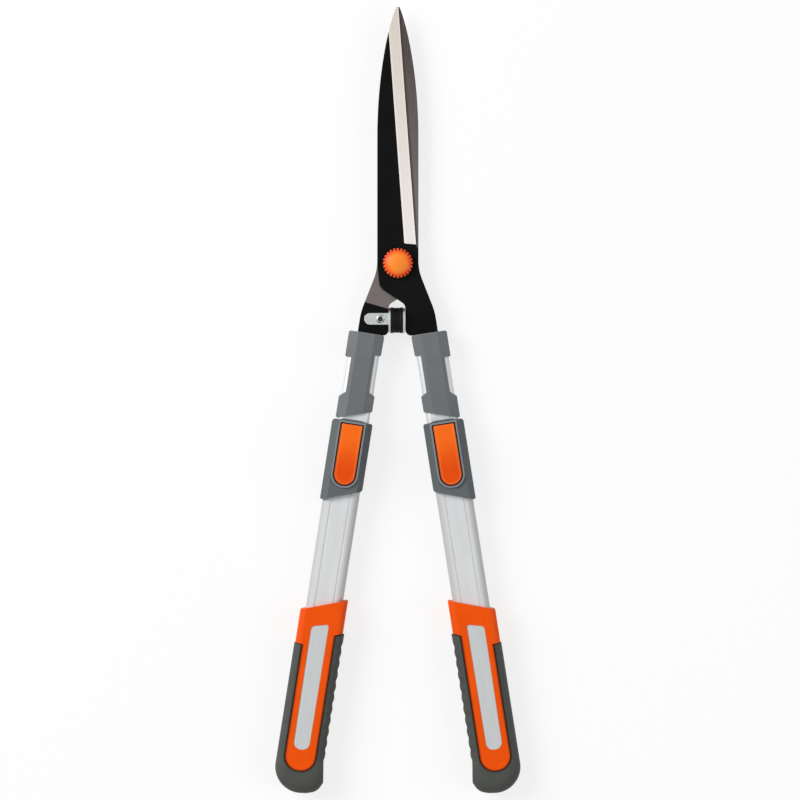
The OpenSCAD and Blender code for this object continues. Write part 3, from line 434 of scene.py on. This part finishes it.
def soft_cover(name, side, colour):
    """The grip's soft cover: fine matt grain; finger ridges that run round its inner edge, with painted
    shade in the hollows between them; painted shade along the join with the orange panel; and edges
    lightened as a painted highlight.
    """
    s = Surface(name, Specular_IOR_Level=0.15, Sheen_Weight=0.04, Sheen_Roughness=0.5)
    origin, turn = axes(side)
    at = s.place(origin, turn)
    spot = s.node("ShaderNodeSeparateXYZ", at)
    along, across = spot.outputs[0], spot.outputs[1]
    inward = s.math("MULTIPLY", across, -1.0 if side == "right" else 1.0)
    steps = s.math("DIVIDE", s.math("SUBTRACT", along, RIDGE_START * MM), RIDGE_PITCH * MM)
    phase = s.math("MAXIMUM", steps, 0.5)
    wave = s.math("POWER", s.math("SINE", s.math("MULTIPLY", phase, math.pi)), 2.0)
    within = s.math("LESS_THAN", phase, float(RIDGE_COUNT))
    near_edge = s.ramp(inward, 14.5 * MM, 20.5 * MM)
    ridge = s.math("MULTIPLY", s.math("MULTIPLY", wave, within), near_edge)
    fine = s.noise(at, 0.32 * MM, 3, 0.6)
    cloud = s.noise(at, 22 * MM, 3)
    edge = s.edges(1.0 * MM)
    base = s.mix(s.ramp(cloud, 0.3, 0.7), shade(colour, 0.93), shade(colour, 1.06))
    base = s.mix(s.math("MULTIPLY", s.ramp(fine, 0.5, 0.8), 0.22), base, tint(colour, 0.1))
    # Painted shade: darker in the hollows between the finger ridges.
    valley_shade = s.math("MULTIPLY", s.math("MULTIPLY", s.math("SUBTRACT", 1.0, wave), within), near_edge)
    base = s.mix(s.math("MULTIPLY", valley_shade, 0.35), base, shade(colour, 0.55))
    # Painted shade: darker along the join with the orange panel.
    seam_shade = s.ramp(s.inside(spot, *PANEL), -2.6 * MM, -0.8 * MM)
    base = s.mix(s.math("MULTIPLY", seam_shade, 0.6), base, shade(colour, 0.35))
    # Painted highlight: edges lightened.
    base = s.mix(s.math("MULTIPLY", edge, 0.18), base, tint(colour, 0.18))
    gloss = s.math("SUBTRACT", 0.72, s.math("MULTIPLY", edge, 0.12))
    normal = s.bump(ridge, 0.9 * MM, 1.0, s.bump(fine, 0.02 * MM, 0.8, s.soft_normal(2.0 * MM)))
    return s.set(Base_Color=base, Roughness=gloss, Normal=normal).material


# ---------------------------------------------------------------- finishes


def dress(name, material):
    NODES[name].data.materials.clear()
    NODES[name].data.materials.append(material)


zinc = plated("zinc_plate", rgb(200, 200, 198), 0.3, 0.12, 0.1)
spring = plated("spring_steel", rgb(165, 163, 160), 0.34, 0.15, 0.1)
blued = plated("blued_steel", rgb(52, 50, 50), 0.45, 0.15, 0.1)
chrome = plated("bright_plate", rgb(191, 196, 195), 0.3, 0.12)
bumper_skin = rubber("bumper_rubber", rgb(5, 5, 5), 0.5, 0.5, 0.006, 0.1)
insert_skin = moulded("insert_nylon", rgb(62, 62, 62), 0.55)

for side in SIDES:
    finish = {
        "socket": moulded(side + "_socket_nylon", rgb(108, 112, 115), 0.5, 0.42, 0.02, side),
        "tang_insert": insert_skin,
        "socket_screws": zinc,
        "inner_tube": extruded(side + "_inner_tube_skin", side, rgb(222, 224, 226), 0.5, 0.25),
        "glide_plug": insert_skin,
        "outer_tube": extruded(side + "_outer_tube_skin", side, rgb(219, 220, 221), 0.56, 0.12,
                               flank_shade=0.76),
        # The collar's raised rim round the lever is painted paler, a painted highlight.
        "lock_collar": moulded(side + "_collar_nylon", rgb(92, 97, 100), 0.5, 0.42, 0.02, side,
                               crest_highlight=(14.5, 15.5, rgb(128, 132, 136))),
        "collar_screws": zinc,
        "lever_pin": blued,
        # The lever's hinge end is paler, a painted highlight; along its rim a pale band is painted
        # highlight and a dark band is painted shade.
        "lock_lever": moulded(side + "_lever_plastic", rgb(253, 110, 22), 0.42, 0.4, 0.01, side, edge_wear_and_highlight=0.4,
                              gleam=0.15, highlight_fade=(4, 40, rgb(230, 76, 2)), rim=LEVER_RIM_LIGHT_AND_SHADE),
        "lock_shoe": spring,
        # The orange panel is darker along its rim, painted shade.
        "grip_core": moulded(side + "_grip_plastic", rgb(246, 86, 5), 0.48, 0.5, 0.008, side, edge_wear_and_highlight=0.15,
                             gleam=0.1, rim=PANEL_RIM_SHADE),
        "grip_cover": soft_cover(side + "_grip_rubber", side, rgb(78, 80, 76)),
        "trim_front": extruded(side + "_trim_skin", side, rgb(201, 204, 204), 0.6, 0.15, 0.1),
    }
    finish["trim_back"] = finish["trim_front"]
    for name, material in finish.items():
        dress(f"{side}_{name}", material)

for name, material in {
    "upper_blade": blade_steel("blade_upper", True),
    "lower_blade": blade_steel("blade_lower", False),
    "pivot_bolt": zinc,
    "pivot_nut": zinc,
    "tension_knob": tension_knob("knob_plastic"),
    "wave_washer": spring,
    "front_washer": zinc,
    "back_washer": zinc,
    "bumper_bracket": chrome,
    "bumper": bumper_skin,
    "strike_plate": chrome,
    "bumper_screw": zinc,
    "bracket_bolt": plated("bolt_plate", rgb(206, 209, 209), 0.3, 0.12, socket=BOLT),
    "bracket_nut": zinc,
}.items():
    dress(name, material)

# ---------------------------------------------------------------- stage, light and camera


FLOOR_HALF = 30.0
FLOOR_DROP = 0.0002
CAMERA_AT = (1.9 * MM, -0.2 * MM, 3.951 + PIVOT.z)


def seen_rays(tree):
    """1 for rays from the camera and from mirroring surfaces, which see the surroundings as white."""
    path = tree.nodes.new("ShaderNodeLightPath")
    either = tree.nodes.new("ShaderNodeMath")
    either.operation = "MAXIMUM"
    tree.links.new(path.outputs["Is Camera Ray"], either.inputs[0])
    tree.links.new(path.outputs["Is Glossy Ray"], either.inputs[1])
    return either.outputs[0]


def make_floor():
    """A plain pale floor just under the tool. It shows white, and keeps the tool's shadow."""
    mesh = bpy.data.meshes.new("floor")
    height = CAD_BOX[0].z - FLOOR_DROP
    corners = [(x * FLOOR_HALF, y * FLOOR_HALF, height) for x, y in ((-1, -1), (1, -1), (1, 1), (-1, 1))]
    mesh.from_pydata(corners, [], [(0, 1, 2, 3)])
    floor = bpy.data.objects.new("floor", mesh)
    bpy.context.scene.collection.objects.link(floor)
    material = bpy.data.materials.new("pale_floor")
    material.use_nodes = True
    tree = material.node_tree
    tree.nodes.clear()
    out = tree.nodes.new("ShaderNodeOutputMaterial")
    plain = tree.nodes.new("ShaderNodeBsdfDiffuse")
    plain.inputs[0].default_value = (0.85, 0.85, 0.85, 1)
    seen = tree.nodes.new("ShaderNodeBsdfDiffuse")
    seen.inputs[0].default_value = (0.22, 0.22, 0.22, 1)
    glow = tree.nodes.new("ShaderNodeEmission")
    glow.inputs[0].default_value = (1, 1, 1, 1)
    glow.inputs[1].default_value = 0.78
    both = tree.nodes.new("ShaderNodeAddShader")
    choose = tree.nodes.new("ShaderNodeMixShader")
    link = tree.links.new
    link(seen.outputs[0], both.inputs[0])
    link(glow.outputs[0], both.inputs[1])
    link(seen_rays(tree), choose.inputs[0])
    link(plain.outputs[0], choose.inputs[1])
    link(both.outputs[0], choose.inputs[2])
    link(choose.outputs[0], out.inputs[0])
    mesh.materials.append(material)


def make_world(ambient):
    """A white surround that lights the tool at this strength."""
    world = bpy.data.worlds.new("studio")
    bpy.context.scene.world = world
    world.use_nodes = True
    tree = world.node_tree
    tree.nodes.clear()
    out = tree.nodes.new("ShaderNodeOutputWorld")
    sky = tree.nodes.new("ShaderNodeBackground")
    level = tree.nodes.new("ShaderNodeMapRange")
    level.inputs["To Min"].default_value = ambient
    level.inputs["To Max"].default_value = 1.0
    sky.inputs[0].default_value = (1, 1, 1, 1)
    link = tree.links.new
    link(seen_rays(tree), level.inputs["Value"])
    link(level.outputs[0], sky.inputs[1])
    link(sky.outputs[0], out.inputs[0])


def add_lamp(name, place, size, radiance):
    """A square soft box that faces the middle of the tool."""
    data = bpy.data.lights.new(name, "AREA")
    data.size = size
    data.energy = radiance * math.pi * size * size
    lamp = bpy.data.objects.new(name, data)
    lamp.location = place
    lamp.rotation_euler = (-Vector(place)).to_track_quat("-Z", "Y").to_euler()
    lamp.visible_camera = False
    bpy.context.scene.collection.objects.link(lamp)


make_floor()
make_world(0.28)
add_lamp("key", (-2.6, 1.3, 2.4), 2.2, 8.2)
add_lamp("fill", (2.8, -0.6, 2.2), 2.2, 2.5)

camera = bpy.data.objects.new("camera", bpy.data.cameras.new("camera"))
bpy.context.scene.collection.objects.link(camera)
camera.data.lens = 200
camera.data.sensor_width = 36
camera.data.clip_end = 100
camera.location = CAMERA_AT
bpy.context.scene.camera = camera
bpy.context.scene.view_settings.view_transform = "Standard"
